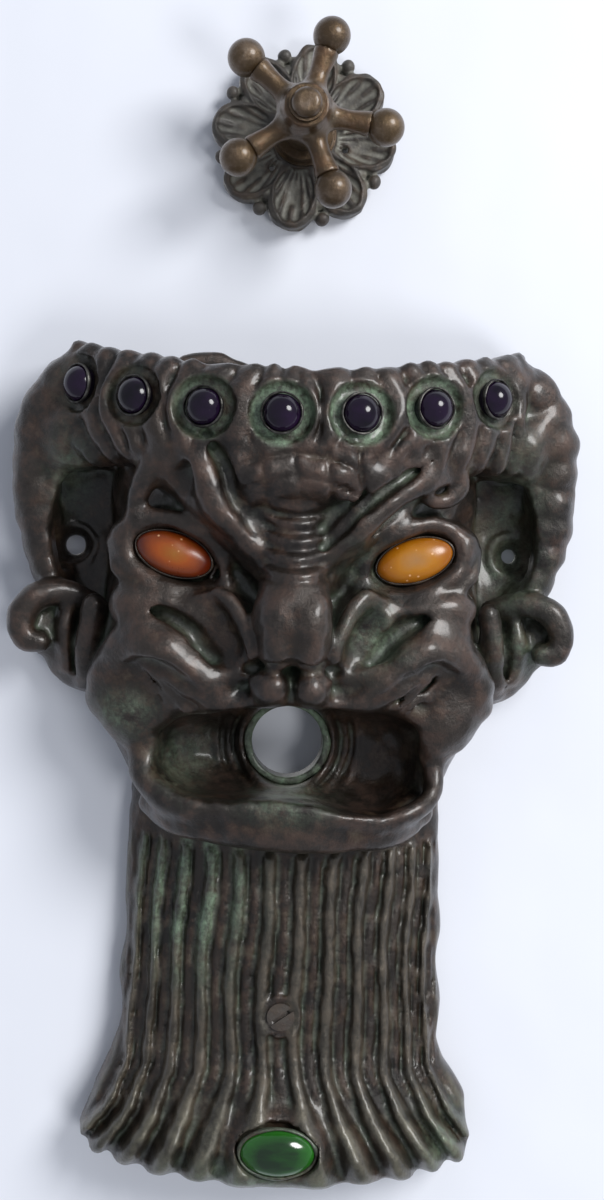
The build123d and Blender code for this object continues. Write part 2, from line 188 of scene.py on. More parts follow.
class Clay:
    """A block of clay on a grid. The distance is negative inside the clay."""

    def __init__(self, low, high, step):
        self.low = np.array(low, float)
        self.step = step
        self.axes = [np.arange(a, b + step, step, dtype=np.float32) for a, b in zip(low, high)]
        self.field = np.full([len(a) for a in self.axes], 20.0, np.float32)

    def window(self, low=None, high=None):
        """The slices and the coordinates of the grid inside a box, or of all of it."""
        if low is None:
            cuts = (slice(None),) * 3
        else:
            cuts = tuple(
                slice(int(np.searchsorted(a, p)), int(np.searchsorted(a, q)))
                for a, p, q in zip(self.axes, low, high)
            )
        x, h, z = np.ix_(*[a[c] for a, c in zip(self.axes, cuts)])
        return cuts, x, h, z

    def merge(self, cuts, distance, blend, cut=False):
        old = self.field[cuts]
        self.field[cuts] = soft_max(old, -distance, blend) if cut else soft_min(old, distance, blend)

    def trim(self, outside):
        """Cut away, with a sharp edge, all that is outside another shape."""
        self.field = np.maximum(self.field, outside).astype(np.float32)

    def dent(self, depth, cuts=...):
        """Press the surface in by a depth at each place, or out where that is below nought."""
        self.field[cuts] += depth.astype(np.float32)

    def tube(self, points, blend=2.0, cut=False, ribs=0.0, rib_pitch=7.0):
        """A round bar along a smooth path of (x, h, z, radius), with ribs across it if asked."""
        path = through_points(points)
        reach = path[:, 3].max() + 2 * blend + 3
        low = path[:, :3].min(0) - reach
        high = path[:, :3].max(0) + reach
        cuts, x, h, z = self.window(low, high)
        distance = np.full(np.broadcast_shapes(x.shape, h.shape, z.shape), 50.0, np.float32)
        along = 0.0
        for a, b in zip(path[:-1], path[1:]):
            step = b[:3] - a[:3]
            length = max(np.linalg.norm(step), 1e-6)
            t = ((x - a[0]) * step[0] + (h - a[1]) * step[1] + (z - a[2]) * step[2]) / length**2
            t = np.clip(t, 0, 1)
            gap_h = h - a[1] - step[1] * t
            gap = np.sqrt((x - a[0] - step[0] * t) ** 2 + gap_h**2 + (z - a[2] - step[2] * t) ** 2)
            radius = a[3] + (b[3] - a[3]) * t
            if ribs:
                radius = radius + ribs * (np.abs(np.sin(pi * (along + length * t) / rib_pitch)) - 0.6)
            distance = np.minimum(distance, gap - radius)
            along += length
        self.merge(cuts, distance, blend, cut)

    def egg(self, centre, radii, tilt=0.0, blend=2.0, cut=False):
        """An ellipsoid, turned by tilt degrees in the plane of the door."""
        reach = max(radii) + 2 * blend + 2
        cuts, x, h, z = self.window(np.array(centre) - reach, np.array(centre) + reach)
        x, h, z = x - centre[0], h - centre[1], z - centre[2]
        c, s = cos(radians(tilt)), sin(radians(tilt))
        along, across = x * c + z * s, z * c - x * s
        k0 = np.sqrt((along / radii[0]) ** 2 + (h / radii[1]) ** 2 + (across / radii[2]) ** 2)
        k1 = np.sqrt((along / radii[0] ** 2) ** 2 + (h / radii[1] ** 2) ** 2 + (across / radii[2] ** 2) ** 2)
        self.merge(cuts, k0 * (k0 - 1) / np.maximum(k1, 1e-6), blend, cut)

    def rod(self, centre, radius, low, high, blend=0.5, cut=False):
        """A round bar straight out of the door, between two heights."""
        reach = radius + 2 * blend + 2
        window_low = (centre[0] - reach, low - 3, centre[1] - reach)
        window_high = (centre[0] + reach, high + 3, centre[1] + reach)
        cuts, x, h, z = self.window(window_low, window_high)
        across = apart(x, z, centre) - radius
        distance = np.maximum(across, np.maximum(low - h, h - high))
        self.merge(cuts, distance, blend, cut)

    def blurred(self, passes=2):
        """The field averaged over a few cells, to tell hollows from ridges."""
        field = self.field.copy()
        for _ in range(passes):
            for axis in range(3):
                padded = np.concatenate(
                    (np.take(field, [0, 0], axis), field, np.take(field, [-1, -1], axis)), axis
                )
                n = field.shape[axis]
                field = sum(np.take(padded, np.arange(i, i + n), axis) for i in range(5)) / 5
        return field

    def sample(self, field, points):
        """Field values at points, from the corners of the cell that each is in."""
        place = (points - self.low) / self.step
        base = np.clip(np.floor(place).astype(int), 0, np.array(field.shape) - 2)

        def corner(i, j, k):
            return field[base[:, 0] + i, base[:, 1] + j, base[:, 2] + k]

        return trilinear(corner, (place - base).T)

    def surface(self):
        """Points and quads of the clay's surface, by surface nets."""
        f = self.field
        inside = f < 0
        n = np.array(f.shape) - 1
        total = np.zeros(tuple(n) + (3,), np.float32)
        count = np.zeros(tuple(n), np.float32)

        def shifted(a, i, j, k):
            return a[i : i + n[0], j : j + n[1], k : k + n[2]]

        for axis in range(3):
            for p in (0, 1):
                for q in (0, 1):
                    start = [p, q]
                    start.insert(axis, 0)
                    end = list(start)
                    end[axis] = 1
                    a, b = shifted(f, *start), shifted(f, *end)
                    crossing = shifted(inside, *start) != shifted(inside, *end)
                    t = np.where(crossing, a / np.where(crossing, a - b, 1), 0)
                    for k in range(3):
                        total[..., k] += crossing * (start[k] + (t if k == axis else 0))
                    count += crossing
        used = count > 0
        number = np.full(tuple(n), -1, np.int64)
        number[used] = np.arange(used.sum())
        corner = np.argwhere(used)
        points = self.low + self.step * (corner + total[used] / count[used][:, None])
        quads = []
        for axis in range(3):
            others = [k for k in range(3) if k != axis]
            cut = [slice(1, -1) if k in others else slice(0, -1) for k in range(3)]
            a = inside[tuple(cut)]
            cut[axis] = slice(1, None)
            b = inside[tuple(cut)]
            cells = np.argwhere(a != b)
            leaving = a[tuple(cells.T)]
            base = cells.copy()
            for k in others:
                base[:, k] += 1
            ring = []
            for p, q in ((0, 0), (1, 0), (1, 1), (0, 1)):
                near = base.copy()
                near[:, others[0]] -= p
                near[:, others[1]] -= q
                ring.append(number[tuple(near.T)])
            ring = np.stack(ring, 1)
            turn = leaving if axis != 1 else ~leaving
            ring[turn] = ring[turn][:, ::-1]
            quads.append(ring)
        quads = np.vstack(quads)
        return points, quads[(quads >= 0).all(1)]


def mesh_of(name, points, faces, body):
    """A mesh object from (x, h, z) points in millimetres, riding on a body."""
    world = np.stack((points[:, 0], -points[:, 1], points[:, 2]), 1) * MM
    mesh = bpy.data.meshes.new(name)
    mesh.from_pydata(world.tolist(), [], [list(map(int, f)) for f in faces])
    mesh.validate()
    mesh.update()
    mesh.shade_smooth()
    obj = bpy.data.objects.new(name, mesh)
    bpy.context.scene.collection.objects.link(obj)
    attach(obj, body)
    return obj


def set_attribute(obj, name, values):
    attribute = obj.data.attributes.new(name, "FLOAT", "POINT")
    attribute.data.foreach_set("value", np.asarray(values, np.float32))


def cast(clay, name, body, contrast):
    """The clay as a mesh that knows its hollows, with its points and how hollow each one is."""
    points, quads = clay.surface()
    hollow = -contrast * clay.sample(clay.blurred(), points)
    obj = mesh_of(name, points, quads, body)
    set_attribute(obj, "hollow", hollow)
    return obj, points, hollow


def swap_in(obj, material, slot, *nodes):
    """Let a piece take the place of CAD nodes, with its material; the slot argument is not used."""
    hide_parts(*nodes)
    obj.data.materials.append(material)


def flip(side, *points):
    """Points set for the right side (+1), or the same points on the left side (-1)."""
    return [(side * point[0], *point[1:]) for point in points]


# ---- mask

LUMPS = Lattice(7)
GRAIN = Lattice(11)


def table(z, heights, values):
    return np.interp(z, heights, values).astype(np.float32)


def face_mass(clay):
    """The face as a flat-backed relief, from the chin to under the crown."""
    cuts, x, h, z = clay.window((-80, -3, -40), (80, 75, 112))
    width = table(z, (-34, -28, -16, 0, 14, 24, 60, 104), (41, 46, 53, 61, 66, 67, 65, 63))
    depth = table(z, (-34, -28, -16, 5, 25, 45, 60, 75, 90, 104), (34, 43, 46, 44, 46, 45, 43, 46, 51, 53))
    side = table(z, (-34, -20, 10, 25, 60, 100), (12, 18, 20, 22, 18, 22))
    height = side + (depth - side) * (1 - np.minimum(np.abs(x) / width, 1) ** 2.3)
    distance = soft_max((h - height) * 0.8, np.abs(x) - width, 8)
    distance = soft_max(distance, -33 - z, 4)
    distance = soft_max(distance, z - 108, 3)
    clay.merge(cuts, distance, 0)


def beard_spread(z):
    """How much wider the beard's locks run at a height than under the chin."""
    return table(z, (-154, -138, -127, -112, -60), (1.34, 1.28, 1.15, 1.03, 1.0))


def beard_lines(x, z):
    """Position across the beard in locks: a ridge stands at each whole number."""
    spread = beard_spread(z)
    parting = table(z, (-154, -146, -136, -127, -114), (11, 8, 4.5, 2, 0))
    wander = 0.9 * np.sin(z / 19.0) + 0.6 * np.sin(z / 8.5 + x / 11) + 0.25 * np.sin(z / 2.4 + x)
    out = np.sign(x) * (np.sqrt(x * x + parting**2) - parting)
    across = np.clip((out + wander) / spread / BEARD_CURVE, -0.98, 0.98)
    return np.degrees(np.arcsin(across)) / LOCK_ANGLE - 0.5


def beard_mass(clay):
    """The beard: narrow ridges between round locks, swept outwards at its foot."""
    cuts, x, h, z = clay.window((-82, -3, -160), (82, 50, 8))
    width = table(z, (-153, -146, -136, -124, -112, -104, -60, 5), (58, 66, 69, 66, 59, 57, 56, 55))
    levels = (-153, -147, -138, -122, -106, -60, -24, -16, 5)
    depth = table(z, levels, (27, 36, 38, 32, 28, 27.5, 27, 13, 9))
    side = table(z, (-153, -140, -120, -20, 5), (12, 17, 10, 7, 6))
    height = side + (depth - side) * (1 - np.minimum(np.abs(x) / width, 1) ** 2.2)
    # Locks and ridges, fading under the chin and at the beard's sides
    lines = beard_lines(x, z)
    offset = from_whole(lines)
    foot = ramp(-z, 112, 136)
    top = CHIN_LINE - 5.0 * (1 - (x / 56) ** 2)
    fade = ramp(top - z, 0, 2.5)
    ridge = np.exp(-np.abs(offset / (0.2 + 0.13 * foot)) ** 3)
    lock = 0.5 - 0.5 * np.cos(2 * pi * offset)
    crease = bell(np.abs(offset) - 0.3, 0.07) * (1 - foot)
    face = 0 * h  # the noise is taken on the door's face, so that it is the same at every depth
    swell = 1.5 * foot * LUMPS.at(x, face, z, 13)
    relief = (3.6 + 3.2 * foot + swell) * ridge + 1.6 * lock * (1 - foot) - 0.8 * crease - 1.6 - 1.6 * foot
    beat = pi * z / NICK_PITCH + 1.3 * np.round(lines) + 0.5 * np.sin(z / 9)
    nicks = bell(np.sin(beat), 0.3)
    flank = bell(offset + 0.22, 0.1) + 0.5 * bell(offset - 0.24, 0.1)
    relief = relief - 1.0 * nicks * flank * (1 - foot) * (0.7 + 0.6 * LUMPS.at(x, face, z, 17))
    inner = ramp(-np.abs(x) / beard_spread(z), -57, -51)
    height = height + relief * fade * inner * (1 - 0.6 * ramp(-z, 143, 152))
    scallop = 0.9 * np.cos(z / 4.6 + np.sign(x)) * ramp(-z, 40, 70)
    distance = soft_max((h - height) * 0.6, np.abs(x) - width - scallop, 4)
    hem = -152.3 + 6.0 * (x / 60) ** 2 - 0.5 * ridge + 1.6 * LUMPS.at(x, h, z, 15)
    distance = soft_max(distance, hem - z, 6)
    distance = soft_max(distance, z - 3, 2)
    clay.merge(cuts, distance, 1.0)
    # The swelling that seats the stone at the foot
    clay.egg((BEARD_STONE[0], BEARD_STONE_FRONT - 12, BEARD_STONE[2]), (20, 12, 13), blend=5)


def crown_edge(x):
    """Height of the crown's top edge."""
    return 124.5 + x * x / 455


def along_crown(angle, stone):
    """How far round the crown a place is from a stone, from its angle in degrees."""
    turn = np.degrees(np.arctan2(stone[0], stone[1] - CROWN_AXIS))
    return radians(1) * (angle - turn) * CROWN_RADIUS


def crown_band(clay):
    """The band of the crown: upright lobes on a bent wall, with a round well about each stone."""
    cuts, x, h, z = clay.window((-92, -3, 84), (92, 76, 146))
    angle = np.degrees(np.arctan2(x, h - CROWN_AXIS))
    radius = apart(x, h, (0, CROWN_AXIS))
    edge = crown_edge(x)
    middle = (edge + CROWN_BOTTOM) / 2
    bulge = 1 - ((z - middle) / (edge - CROWN_BOTTOM) * 1.75) ** 2
    warp = 2.2 * LUMPS.at(x, h, z, 16) - 1.8 * np.sign(x) * np.sin((z - 96) / 9.5)
    lobes = np.abs(np.cos(radians(180) * (angle + warp) / LOBE_ANGLE))
    lobes = (lobes**0.6 - 0.6) * (1.6 + 2.2 * ramp(edge - z, 1, 9))
    wells = 0
    rims = 0
    for stone in CROWN_STONES:
        gap = np.sqrt(along_crown(angle, stone) ** 2 * 0.92 + (z - stone[2]) ** 2)
        wells = np.maximum(wells, ramp(-gap, -10.6, -9.0))
        rims = np.maximum(rims, bell(gap - 10.9, 1.1))
    surface = CROWN_RADIUS - 3 + 3.2 * np.clip(bulge, -1.5, 1) + lobes * (1 - wells) * (1 - 0.6 * rims)
    surface = surface + 0.9 * rims
    # Each well is a level floor inside its rim
    surface = surface * (1 - wells) + (CROWN_RADIUS - 2.0) * wells
    distance = (radius - surface) * 0.85
    top = edge + 0.45 * np.cos(radians(360) * (angle + warp) / LOBE_ANGLE) + 0.7 * LUMPS.at(x, h, z, 9)
    distance = soft_max(distance, z - top, 3.5)
    distance = soft_max(distance, CROWN_BOTTOM + 1.5 * np.cos(radians(360) * angle / LOBE_ANGLE) - z, 5)
    distance = soft_max(distance, np.abs(x) - 79, 4)
    clay.merge(cuts, distance, 1.5)
    # The band's open top: a trough behind the front wall, and a low wall at the back
    cuts, x, h, z = clay.window((-92, -3, 108), (92, 76, 146))
    radius = apart(x, h, (0, CROWN_AXIS))
    trough = soft_max(radius - (CROWN_RADIUS - 9), 6 - h, 3)
    trough = soft_max(trough, crown_edge(x) - 9 - z, 4)
    trough = soft_max(trough, np.abs(x) - 74, 4)
    clay.merge(cuts, trough, 2, cut=True)
    rear = 125 + 13 * bell(x + 30, 22) + 0.8 * LUMPS.at(x, h, z, 8)
    wall = soft_max(soft_max(h - 6, z - rear, 3), np.abs(x) - 70, 6)
    clay.merge(cuts, wall, 2)


def forehead(clay):
    """The ribbed bulge under the crown's middle, with rows of blocks cut into it."""
    clay.egg((0, 40, 96), (50, 25, 17), blend=4)
    clay.egg((0, 50, 90), (34, 15, 11), blend=5)
    cuts, x, h, z = clay.window((-60, 30, 76), (60, 76, 112))
    near = ramp(-np.abs(x), -38, -26) * ramp(z, 79, 84) * ramp(-z, -106, -100)
    column = x + 1.5 * np.sin(z / 7)
    upright = bell(from_whole(column / 10.5), 0.11)
    rows = z - 1.3 * np.cos(x / 9) + x * x / 160
    level = bell(from_whole(rows / 7.3), 0.12)
    wear = 0.6 + 0.6 * LUMPS.at(x, h, z, 14)
    blocks = near * (2.0 * np.maximum(upright, level * ramp(-np.abs(x), -26, -14)) * wear - 0.4)
    clay.dent(blocks + 0.8 * near * LUMPS.at(x, h, z, 5), cuts)


def nose(clay):
    """A stepped bridge, a cleft tip, flaring wings and the two bulbs of the upper lip."""
    bridge = ((0, 44, 84, 13), (0, 47, 72, 11), (0, 50, 60, 11), (0, 55, 48, 12), (0, 55, 40, 11))
    clay.tube(bridge, blend=6)
    cuts, x, _, z = clay.window((-20, 38, 50), (20, 76, 84))
    steps = np.sin(2 * pi * (z - x * x / 40) / 5.6)
    near = ramp(-np.abs(x), -15, -9) * ramp(z, 53, 58) * ramp(-z, -82, -76)
    clay.dent(-0.9 * near * steps, cuts)
    for side in (-1, 1):
        clay.egg((side * 5.6, 58, 43), (7, 10, 10.5), blend=3)
        clay.egg((side * 5.2, 56, 34), (6.5, 9.5, 7), blend=2.5)
        clay.egg((side * 6.2, 50, 21), (7, 9.5, 7.5), tilt=side * 12, blend=2.2)
        clay.egg((side * 21, 42, 37), (12, 13, 18), tilt=side * -24, blend=3)
        clay.egg((side * 24.5, 55, 37), (7.5, 8, 14), tilt=side * -24, blend=2, cut=True)
        rim = flip(
            side, (12, 53, 24, 2), (14, 56, 34, 2.2), (18, 54, 45, 2.4), (25, 50, 52, 2.4),
            (32, 45, 49, 2.2), (33, 44, 38, 2), (27, 47, 24, 2),
        )
        clay.tube(rim, blend=2.5)
        clay.egg((side * 14, 54, 27), (3.2, 5, 2.6), blend=1.5, cut=True)
        clay.egg((side * 14.5, 50, 64), (5, 7, 6), blend=4, cut=True)
    cleft = ((0, 69, 50, 1.2), (0, 70, 42, 1.5), (0, 67, 33, 1.4), (0, 62, 24, 1.5), (0, 60, 16, 1.6))
    clay.tube(cleft, blend=1.5, cut=True)
    clay.tube(((-11, 57, 29, 1.3), (0, 62, 28.5, 1.5), (11, 57, 29, 1.3)), blend=1.5, cut=True)


def cheeks(clay):
    """The raised rolls beside the mouth, the slot under each, and the cheekbones."""
    for side in (-1, 1):
        clay.egg((side * 44, 38, 45), (18, 11, 11), tilt=side * 14, blend=6)
        clay.egg((side * 52, 28, 14), (14, 12, 18), tilt=side * -20, blend=6)
        fold = flip(
            side, (21, 43, 15, 5), (31, 46, 23, 7), (42, 45, 32, 8.5), (52, 40, 34, 8), (60, 33, 27, 7),
            (64, 26, 16, 5.5),
        )
        clay.tube(fold, blend=6)
        slot = flip(side, (27, 53, 15, 2), (37, 53, 22, 3.6), (47, 49, 27, 3.4), (54, 44, 26, 2))
        clay.tube(slot, blend=2.5, cut=True)
        groove = flip(side, (26, 47, 30, 2), (36, 47, 41, 2.5), (50, 42, 45, 2.2), (62, 32, 36, 1.5))
        clay.tube(groove, blend=4, cut=True)
        for step in range(4):
            start = (34 + 6 * step, 44 - 2 * step, 13 + 2.5 * step, 1.1)
            end = (45 + 5.5 * step, 44 - 4 * step, 24 + 0.5 * step, 1.5)
            clay.tube(flip(side, start, end), blend=2.5)


def mouth(clay):
    """The cavity, the rim of the lips, the jaw band and the rings about the hole."""
    lower = (
        (-50, 27, 4, 4), (-48, 34, -11, 4.5), (-36, 40, -19, 4.5), (-12, 45, -20, 4.5),
        (12, 46, -20, 4.5), (34, 41, -21.5, 4.5), (47, 34, -15, 4.5), (49, 27, 0, 4),
    )
    clay.tube(lower, blend=5)
    jaw = (
        (-46, 24, -21, 4.5), (-34, 35, -26.5, 5), (0, 43, -28.5, 5.5), (34, 35, -28, 5), (46, 24, -22, 4.5),
    )
    clay.tube(jaw, blend=6)
    upper = (
        (-48, 30, 8, 4), (-34, 39, 15, 4), (-14, 46, 15.5, 3.5),
        (14, 46, 15.5, 3.5), (34, 39, 15, 4), (47, 30, 8, 4),
    )
    clay.tube(upper, blend=4)
    cuts, x, h, z = clay.window((-58, -3, -32), (58, 76, 24))
    low = -18.0 + 2.0 * np.cos((x + 6) / 11) * ramp(-np.abs(x), -44, -30) - 1.5 * ramp(x, 0, 38)
    high = 14.2 - 1.2 * ramp(np.abs(x), 10, 40)
    middle = (low + high) / 2
    tall = (high - low) / 2
    blunt = np.where(x < 0, 2.6, 4.5)
    outline = (np.abs(x / 46.5) ** blunt + np.abs((z - middle) / tall) ** blunt) ** (1 / blunt)
    floor = 7.5 + 16 * outline**3.2
    rings = apart(x, z)
    rippled = 1.1 * np.cos(2 * pi * (rings - HOLE_RADIUS) / 4.2) * ramp(-rings, -30, -20)
    floor = floor + rippled + 5.5 * ramp(-rings, -21, -15)
    scoop = soft_max((outline - 1) * 17, (floor - h) * 0.8, 3)
    clay.merge(cuts, scoop, 2.2, cut=True)


def eyes(clay):
    """Deep sockets with lids, and a level seat for each collet."""
    for side in (-1, 1):
        tilt = side * degrees(EYE_TILT)
        x0, z0 = side * EYE[0], EYE[2]
        front = EYE_FRONT
        clay.egg((x0, front - 8, z0), (23, 10, 14), tilt=tilt, blend=5)
        clay.egg((x0, front + 3, z0 - 0.5), (18.5, 9, 11.5), tilt=tilt, blend=2, cut=True)
        clay.egg((x0 - side * 15, front + 2, z0 - 5), (7, 9, 4), tilt=tilt, blend=2, cut=True)
        c, s = cos(EYE_TILT) * side, sin(EYE_TILT)

        def lid(points):
            """Path points from places along the eye, across it and out of it, with a radius."""
            return [
                (x0 + c * u - s * side * v, front + w, z0 + s * u + abs(c) * v, r) for u, v, w, r in points
            ]

        above = (
            (-20, -4, -3, 1.5), (-13, 7, -0.5, 2.4), (0, 10.8, 0.5, 2.8), (12, 9, -2, 2.4), (18.5, 0, -6, 2),
        )
        below = (
            (-20, -4, -3, 1), (-10, -9, -2, 1.4), (2, -11, -2.5, 1.5), (13, -8, -4, 1.5), (18.5, 0, -6, 1.2),
        )
        clay.tube(lid(above), blend=4)
        clay.tube(lid(below), blend=3.5)
        outer = ((-14, -13, -1, 1.2), (2, -16, -2, 1.5), (16, -12, -5, 1.4), (22, -3, -8, 1))
        clay.tube(lid(outer), blend=2.5)
        clay.merge(*oval_seat(clay, (x0, z0), (15.2, 9.4), tilt, 0, front - 3.0), 1)
        clay.merge(*oval_seat(clay, (x0, z0), (13.8, 7.8), tilt, front - 6, front + 12), 0.5, cut=True)


def oval_seat(clay, centre, radii, tilt, low, high):
    """The window and distance of an oval bar straight out of the door."""
    reach = max(radii) + 4
    cuts, x, h, z = clay.window(
        (centre[0] - reach, low - 3, centre[1] - reach), (centre[0] + reach, high + 3, centre[1] + reach)
    )
    c, s = cos(radians(tilt)), sin(radians(tilt))
    x, z = x - centre[0], z - centre[1]
    along, across = (x * c + z * s) / radii[0], (z * c - x * s) / radii[1]
    distance = (np.sqrt(along**2 + across**2) - 1) * min(radii)
    return cuts, np.maximum(distance, np.maximum(low - h, h - high))


def brows(clay):
    """The rolled right brow with its curl, and the hooked left one with its hollow."""
    right = ((8, 44, 62, 8), (17, 47, 73, 9.5), (29, 46, 85, 9.5), (42, 43, 95, 9), (54, 37, 102, 7))
    clay.tube(right, blend=6)
    crest = ((9, 52, 64, 2.5), (17, 55, 71, 3.5), (28, 54, 81, 4), (39, 51, 88, 3.6), (50, 45, 93, 3))
    clay.tube(crest, blend=4)
    for rise, depth in ((0, 58), (7, 57)):
        line = (
            (9, depth - 3, 67 + rise, 1.2), (19, depth - 1, 77 + rise, 1.8), (31, depth - 2, 88 + rise, 1.8),
            (44, depth - 7, 97 + rise, 1.2),
        )
        clay.tube(line, blend=3.5, cut=True)
    clay.tube(((22, 52, 72, 1.6), (34, 51, 80, 2.2), (46, 46, 87, 2), (54, 40, 90, 1.2)), blend=3, cut=True)
    curl = (
        (52, 42, 97, 3.4), (54, 42, 90, 3.4), (50, 44, 84, 3),
        (44, 47, 84, 2.6), (42, 48, 89, 2.2), (46, 48, 91, 1.8),
    )
    clay.tube(curl, blend=2.5)
    left = ((-8, 44, 61, 7), (-17, 47, 72, 9), (-28, 47, 84, 9.5), (-38, 45, 94, 8.5), (-50, 40, 100, 6))
    clay.tube(left, blend=6)
    hook = (
        (-10, 52, 63, 2.5), (-18, 55, 71, 3.6), (-26, 57, 80, 4.4), (-31, 57, 90, 4.6), (-36, 55, 98, 4.4),
        (-43, 51, 98, 4.2), (-49, 47, 91, 4), (-53, 43, 82, 3.6), (-52, 42, 74, 3),
    )
    clay.tube(hook, blend=3)
    valley = ((-13, 57, 72, 1.6), (-20, 60, 82, 2.4), (-24, 60, 93, 2.6), (-30, 57, 102, 2))
    clay.tube(valley, blend=2.5, cut=True)
    clay.egg((-38, 56, 86), (4.2, 5, 8), tilt=-28, blend=4, cut=True)
    clay.egg((-45, 51, 80), (3.4, 4.5, 6), tilt=-20, blend=4, cut=True)


def ears(clay):
    """Ribbed horns round the ear bowls, with hooks and folded lobes."""
    for side in (-1, 1):
        cuts, x, h, z = clay.window(
            (min(side * 56, side * 106), -3, 12), (max(side * 56, side * 106), 40, 134)
        )
        u = side * x
        # The ear's floor, a plate inside the horn
        rim = table(z, (14, 18, 30, 46, 60, 80, 100, 120, 131), (72, 78, 86, 86, 90, 94, 93, 84, 74))
        plate = soft_max(u - rim, (h - 7) * 0.9, 3)
        plate = soft_max(soft_max(plate, 14 - z, 5), z - 126, 4)
        clay.merge(cuts, plate, 2)
        horn = flip(
            side, (69, 26, 128, 8.5), (80, 21, 123, 9), (87.5, 18, 110, 9.5), (89.5, 16, 96, 9),
            (89, 14, 82, 8.5), (87, 12, 68, 8), (84, 11, 57, 7), (80, 10, 49, 5),
        )
        clay.tube(horn, blend=3, ribs=2.0 if side > 0 else 0.9, rib_pitch=9.5)
        inner = flip(
            side, (79, 22, 104, 4), (83, 20, 92, 3.6), (83, 18, 78, 3.4), (80, 16, 64, 3), (77, 14, 54, 2.6),
        )
        clay.tube(inner, blend=1.5, ribs=1.4, rib_pitch=6)
        clay.egg((side * 78, 20, 105), (11, 13, 13), blend=4)
        clay.egg((side * 73, 17, 71), (11.5, 12.5, 22), tilt=side * -4, blend=2.5, cut=True)
        clay.egg((side * 64, 29, 72), (7, 8, 18), blend=4, cut=True)
        hook = flip(
            side, (70, 15, 48, 3.5), (80, 18, 50.5, 4.2), (89, 20, 48.5, 4.6), (94, 20, 41, 4.6),
            (92.5, 20, 34, 4.2), (87, 20, 33, 3.4),
        )
        clay.tube(hook, blend=1.5)
        clay.egg((side * 87, 9, 38), (8, 8, 9), blend=3)
        clay.egg((side * 75, 7, 32), (12, 10, 16), tilt=side * -12, blend=4)
        inner_fold = flip(side, (68, 24, 46, 4), (70, 22, 36, 4.5), (71, 17, 25, 4.5), (72, 12, 20, 4))
        clay.tube(inner_fold, blend=2.5)
        clay.tube(flip(side, (78, 16, 45, 2.5), (79, 17, 36, 3.2), (77, 14, 25, 3.2)), blend=2.5)
        clay.tube(flip(side, (74, 23, 42, 1.6), (75, 20, 33, 2), (74.5, 16, 24, 1.6)), blend=1.5, cut=True)
        # The boss and the countersunk hole of the ear's screw
        hole = (side * EAR_HOLE[0], EAR_HOLE[1])
        clay.rod(hole, 8.5, 0, 6.2, blend=1)
        clay.rod(hole, EAR_HOLE_RADIUS, -5, 20, blend=0.3, cut=True)
        cuts, x, h, z = clay.window((hole[0] - 9, 0, hole[1] - 9), (hole[0] + 9, 14, hole[1] + 9))
        sink = apart(x, z, hole) - EAR_HOLE_RADIUS - np.maximum(h - 2.2, 0) * 0.87
        clay.merge(cuts, np.maximum(sink * 0.75, h - 12), 0.3, cut=True)


def mask_clay(step):
    clay = Clay((-108, -4, -160), (108, 78, 146), step)
    face_mass(clay)
    beard_mass(clay)
    ears(clay)
    forehead(clay)
    crown_band(clay)
    nose(clay)
    cheeks(clay)
    brows(clay)
    eyes(clay)
    mouth(clay)
    # Seats of the screw and the beard's stone
    screw = (SCREW[0], SCREW[2])
    clay.rod(screw, SCREW_RADIUS + 2.2, 0, SCREW_FRONT - 0.4, blend=1.5)
    clay.rod(screw, SCREW_RADIUS + 1.2, SCREW_FRONT - 0.6, SCREW_FRONT + 9, blend=1, cut=True)
    stone = (BEARD_STONE[0], BEARD_STONE[2])
    clay.merge(*oval_seat(clay, stone, (14.2, 9.4), 0, BEARD_STONE_FRONT - 5.6, 60), 0.5, cut=True)
    # Unevenness of a hand-worked surface, a strip of the grid at a time to spare memory
    _, x, h, z = clay.window()
    strip_length = 40
    for start in range(0, len(clay.axes[0]), strip_length):
        part = slice(start, start + strip_length)
        lumps = 0.7 * LUMPS.at(x[part], h, z, 11) + 0.45 * GRAIN.at(x[part], h, z, 4.5)
        lumps = lumps * (0.4 + 0.6 * ramp(z, -40, -24))
        clay.dent(lumps, part)
    # The open hollow behind, and the flat back
    shell = clay.field + WALL
    boss = apart(x, z, screw) - 8
    collar = apart(x, z) - 21
    shell = np.maximum(shell, -np.minimum(boss, collar))
    clay.field = soft_max(clay.field, -shell, 1).astype(np.float32)
    clay.rod(screw, SCREW_RADIUS / 2 + 0.4, -5, 60, blend=0, cut=True)
    clay.rod((0, 0), BUSH_RADIUS - 0.8, -5, 60, blend=0, cut=True)
    clay.trim(-h)
    return clay


def green_places(points, hollow):
    """How green the bronze is: in the jewels' wells, in listed places, and faintly in hollows."""
    x, h, z = points.T
    green = 0.28 * ramp(hollow, 0.1, 0.7)
    angle = np.degrees(np.arctan2(x, h - CROWN_AXIS))
    well_greens = (0.1, 0.15, 0.6, 1.0, 1.0, 0.9, 0.3)  # of the crown's wells, from left to right
    for stone, strength in zip(CROWN_STONES, well_greens):
        gap = np.hypot(along_crown(angle, stone), z - stone[2])
        front = ramp(h, 20, 30)
        green = np.maximum(green, strength * front * ramp(-gap, -11.5, -9.5))
    # Patches: x, z, width, height, strength
    for x0, z0, wide, tall, strength in (
        (78, 64, 10, 16, 0.5), (76, 86, 9, 18, 0.4), (27, 38, 9, 9, 0.6), (-36, -6, 9, 9, 0.6),
        (-56, 10, 9, 6, 0.7), (0, -18, 12, 5, 0.6), (80, 34, 9, 9, 0.5), (58, -136, 10, 12, 0.6),
        (-8, -146, 30, 6, 0.5), (24, 60, 8, 8, 0.4), (-78, 92, 7, 12, 0.45),
    ):
        spot = np.exp(-(((x - x0) / wide) ** 2) - ((z - z0) / tall) ** 2)
        green = np.maximum(green, strength * spot)
    run = np.exp(-(((x + 32) / 15) ** 2) - ((z + 44) / 26) ** 2)
    return np.maximum(green, np.minimum(beard_ridges(points) * 2.4 * run, 1))


